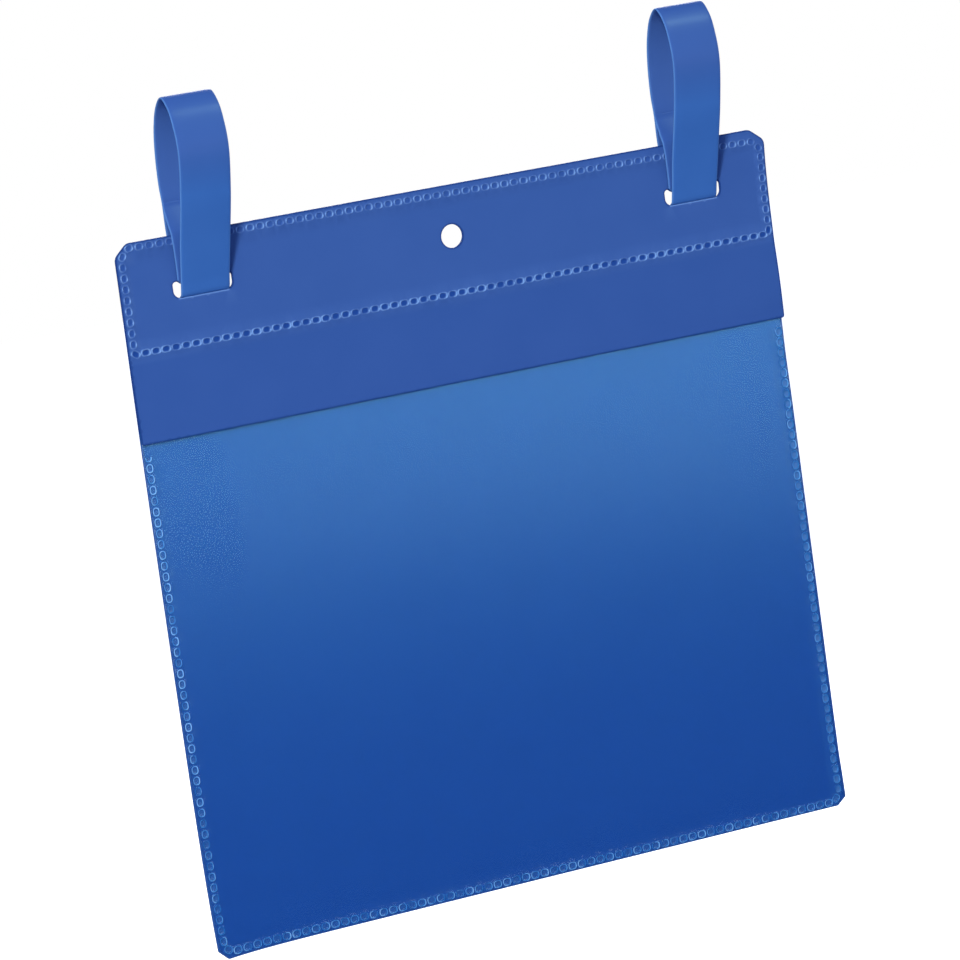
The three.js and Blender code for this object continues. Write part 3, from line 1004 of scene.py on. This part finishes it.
def window_material():
    """Clear film with a blue cast, milky and dull where it is pressed, with painted highlights on its weld
    walls and painted shade along its edges.
    """
    material, tree = new_material("window_film_clear")
    output = tree.nodes.new("ShaderNodeOutputMaterial")
    clear = tree.nodes.new("ShaderNodeBsdfTransparent")
    clear.inputs["Color"].default_value = WINDOW_CAST
    gloss = tree.nodes.new("ShaderNodeBsdfPrincipled")
    rim, pit, cut = attribute(tree, "rim"), attribute(tree, "pit"), attribute(tree, "cut")
    pressed = mix_colours(tree, pit, WINDOW_BODY, PAD_BLUE)
    rimmed = mix_colours(tree, rim, pressed, WINDOW_WALL)
    rimmed = mix_colours(tree, ranged(tree, rim, *MILKY_AND_HIGHLIGHT_TONES, 0, 1), rimmed, WINDOW_RIM)
    tree.links.new(mix_colours(tree, cut, rimmed, WINDOW_EDGE_SHADE), gloss.inputs["Base Color"])
    scuffs = noise(tree, SCUFF_SCALE, 4, SCUFF_STRETCH)
    smooth = ranged(tree, scuffs, 0.3, 0.7, *CLEAR_ROUGH)
    pressed_rough = added(tree, added(tree, smooth, rim, RIM_ROUGH), pit, PIT_ROUGH)
    tree.links.new(pressed_rough, gloss.inputs["Roughness"])
    tree.links.new(ranged(tree, rim, *RIM_SHINE), gloss.inputs["Specular IOR Level"])
    body = added(tree, ranged(tree, rim, 0, 1, CLEAR_BODY, RIM_BODY), pit, PIT_BODY)
    body = added(tree, body, cut, EDGE_SHADE_BODY)
    mix = tree.nodes.new("ShaderNodeMixShader")
    tree.links.new(body, mix.inputs["Fac"])
    tree.links.new(clear.outputs["BSDF"], mix.inputs[1])
    tree.links.new(gloss.outputs["BSDF"], mix.inputs[2])
    tree.links.new(mix.outputs["Shader"], output.inputs["Surface"])
    return material


WINDOW_CAST = (0.66, 0.87, 0.955, 1)
WINDOW_BODY = (0.02, 0.10, 0.45, 1)
# Pale rims: the welds' own paler tone, with painted highlights on them
PALE_RIM_AND_HIGHLIGHT = srgb(128, 178, 240)
# Milky window rims and walls, which also carry painted highlights
WINDOW_RIM = srgb(148, 202, 252)
WINDOW_WALL = srgb(50, 168, 250)
PAD_BLUE = srgb(44, 112, 190)
# Painted shade along the window's edges
WINDOW_EDGE_SHADE = srgb(38, 88, 160)
FLOOR_DEEP = srgb(23, 66, 146)
# Painted shade on the straps' upper front and back
STRAP_PAINTED_SHADE = srgb(54, 94, 167)
# Painted shade along the films' edges and on their cut faces
PAINTED_EDGE_SHADE = srgb(19, 55, 124)
# Painted highlight along the straps' cut edges
PAINTED_EDGE_HIGHLIGHT = srgb(84, 136, 202)
header_material = matte_film(
    "header_film_matte", srgb(52, 91, 163), srgb(54, 93, 165), PALE_RIM_AND_HIGHLIGHT, FLOOR_DEEP, PAINTED_EDGE_SHADE,
    roughness=0.5, grain=0.012, specular=0.03,
)
back_material = matte_film(
    "back_film_gloss", srgb(52, 91, 169), srgb(54, 93, 171), PALE_RIM_AND_HIGHLIGHT, FLOOR_DEEP, PAINTED_EDGE_SHADE,
    roughness=0.2, grain=0.001, specular=1.0, specular_dry=0.1,
)
strap_material = matte_film(
    "strap_film_satin", srgb(54, 108, 186), srgb(56, 110, 188), PALE_RIM_AND_HIGHLIGHT, STRAP_PAINTED_SHADE, PAINTED_EDGE_HIGHLIGHT,
    roughness=0.4, grain=0.008, specular=0.06,
)

for piece, material, slot, bodies, nodes in (
    (back_film, back_material, "back_film", ("pocket",), ("back_sheet",)),
    (cover_film, header_material, "header_film", ("pocket", "flap"), ("header_panel", "rain_flap")),
    (window_film, window_material(), "window_film", ("pocket",), ("front_window",)),
    (strap_band_left, strap_material, "strap_film", ("left_strap",), ("strap_left",)),
    (strap_band_right, strap_material, "strap_film", ("right_strap",), ("strap_right",)),
):
    piece.data.materials.append(material)
    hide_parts(*nodes)
    if len(bodies) == 1:
        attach(piece, bodies[0])

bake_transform(cover_film)


# Floor, light and camera

FLOOR_HEIGHT = -0.56
FLOOR_HALF = 4.0
FLOOR_SEEN = (0.8, 0.8, 0.8, 1)
FLOOR_BOUNCE = (0.5, 0.5, 0.5, 1)
FLOOR_LIFT = (0.9, 1.6, 0.5, 1.0)


def diffuse(tree, colour):
    node = tree.nodes.new("ShaderNodeBsdfDiffuse")
    node.inputs["Color"].default_value = colour
    return node.outputs["BSDF"]


def floor_material():
    """Pale to the camera, and lifted to white away from the object. Other rays meet plain grey."""
    material, tree = new_material("pale_floor")
    output = tree.nodes.new("ShaderNodeOutputMaterial")
    path = tree.nodes.new("ShaderNodeLightPath")
    place = tree.nodes.new("ShaderNodeTexCoord")
    reach = tree.nodes.new("ShaderNodeVectorMath")
    reach.operation = "LENGTH"
    tree.links.new(place.outputs["Object"], reach.inputs[0])
    lift = tree.nodes.new("ShaderNodeEmission")
    tree.links.new(ranged(tree, reach.outputs["Value"], *FLOOR_LIFT), lift.inputs["Strength"])
    lit = tree.nodes.new("ShaderNodeAddShader")
    tree.links.new(diffuse(tree, FLOOR_SEEN), lit.inputs[0])
    tree.links.new(lift.outputs["Emission"], lit.inputs[1])
    mix = tree.nodes.new("ShaderNodeMixShader")
    tree.links.new(path.outputs["Is Camera Ray"], mix.inputs["Fac"])
    tree.links.new(diffuse(tree, FLOOR_BOUNCE), mix.inputs[1])
    tree.links.new(lit.outputs["Shader"], mix.inputs[2])
    tree.links.new(mix.outputs["Shader"], output.inputs["Surface"])
    return material


floor_mesh = bpy.data.meshes.new("floor")
floor_mesh.from_pydata(
    [(x * FLOOR_HALF, y * FLOOR_HALF, FLOOR_HEIGHT) for x, y in ((-1, -1), (1, -1), (1, 1), (-1, 1))],
    [], [(0, 1, 2, 3)],
)
floor = bpy.data.objects.new("floor", floor_mesh)
bpy.context.scene.collection.objects.link(floor)
floor_mesh.materials.append(floor_material())
floor.visible_glossy = False


AMBIENT = (0.055, 0.13, 0.34, 1.0)
MIRRORED_LEVELS = (-0.1, 0.6, 0.08, 0.35)


def set_world():
    """White behind the object, soft blue light on it, and a darker ground in the reflections."""
    world = bpy.data.worlds.new("studio")
    bpy.context.scene.world = world
    world.use_nodes = True
    tree = world.node_tree
    tree.nodes.clear()
    output = tree.nodes.new("ShaderNodeOutputWorld")
    path = tree.nodes.new("ShaderNodeLightPath")
    place = tree.nodes.new("ShaderNodeTexCoord")
    split = tree.nodes.new("ShaderNodeSeparateXYZ")
    tree.links.new(place.outputs["Generated"], split.inputs["Vector"])
    mirrored_level = ranged(tree, split.outputs["Z"], *MIRRORED_LEVELS)

    def choose(test, otherwise, value):
        node = tree.nodes.new("ShaderNodeMix")
        node.data_type = "FLOAT"
        tree.links.new(test, node.inputs["Factor"])
        for socket, source in ((node.inputs["A"], otherwise), (node.inputs["B"], value)):
            if isinstance(source, float):
                socket.default_value = source
            else:
                tree.links.new(source, socket)
        return node.outputs["Result"]

    level = choose(path.outputs["Is Glossy Ray"], 1.0, mirrored_level)
    level = choose(path.outputs["Is Transmission Ray"], level, 1.0)
    level = choose(path.outputs["Is Camera Ray"], level, 1.0)
    background = tree.nodes.new("ShaderNodeBackground")
    white = (1.0, 1.0, 1.0, 1.0)
    colour = mix_colours(tree, path.outputs["Is Diffuse Ray"], white, AMBIENT)
    tree.links.new(colour, background.inputs["Color"])
    tree.links.new(level, background.inputs["Strength"])
    tree.links.new(background.outputs["Background"], output.inputs["Surface"])


def area_light(name, place, target, width, height, power, colour=(1, 1, 1)):
    light = bpy.data.lights.new(name, "AREA")
    light.shape = "RECTANGLE"
    light.size, light.size_y = width, height
    light.energy = power
    light.color = colour
    lamp = bpy.data.objects.new(name, light)
    lamp.location = place
    lamp.rotation_mode = "QUATERNION"
    lamp.rotation_quaternion = (Vector(target) - Vector(place)).to_track_quat("-Z", "Y")
    lamp.visible_camera = False
    bpy.context.scene.collection.objects.link(lamp)
    return lamp


set_world()
CENTRE = Vector((0.0, 0.0, -0.13))


def around(target, azimuth, elevation, distance):
    """A place at an azimuth to the right of the target's front and an elevation, in degrees."""
    a, e = math.radians(azimuth), math.radians(elevation)
    way = Vector((math.sin(a) * math.cos(e), -math.cos(a) * math.cos(e), math.sin(e)))
    return Vector(target) + way * distance


key = area_light(
    "key_light", around(CENTRE, -36.5, 31.5, 3.0), CENTRE,
    width=0.4, height=0.4, power=102.0, colour=(0.96, 0.82, 0.73),
)
key.visible_glossy = False
area_light(
    "rear_light", around(CENTRE, 150, 25, 1.7), CENTRE,
    width=0.8, height=0.8, power=14.0,
)
sheen = area_light(
    "sheen_light", around(CENTRE, 40, 47, 1.5), CENTRE,
    width=0.35, height=0.35, power=31.0, colour=(0.6, 1.0, 0.85),
)
sheen.visible_diffuse = False
panel = area_light(
    "front_panel", (0.5, -1.0, -0.03), (0, 0.07, -0.03),
    width=1.7, height=0.6, power=14.0, colour=(0.72, 0.93, 0.97),
)
panel.visible_diffuse = False

# The camera, fitted to the plate's four corners in the photograph
CAMERA_RIGHT = Vector((0.889, -0.438, -0.133))
CAMERA_AHEAD = Vector((0.418, 0.895, -0.154))
CAMERA_PLACE = (-0.6700, -1.4243, 0.1113)
FOCAL_PIXELS = 5154
IMAGE_PIXELS = 960
SENSOR = 36.0

ahead = CAMERA_AHEAD.normalized()
right = (CAMERA_RIGHT - CAMERA_RIGHT.dot(ahead) * ahead).normalized()
up = right.cross(ahead)
camera_data = bpy.data.cameras.new("camera")
camera_data.sensor_width = SENSOR
camera_data.lens = FOCAL_PIXELS / IMAGE_PIXELS * SENSOR
camera = bpy.data.objects.new("camera", camera_data)
turn = Matrix((right, up, -ahead)).transposed().to_4x4()
camera.matrix_world = Matrix.Translation(CAMERA_PLACE) @ turn
bpy.context.scene.collection.objects.link(camera)
bpy.context.scene.camera = camera
bpy.context.scene.view_settings.view_transform = "Standard"
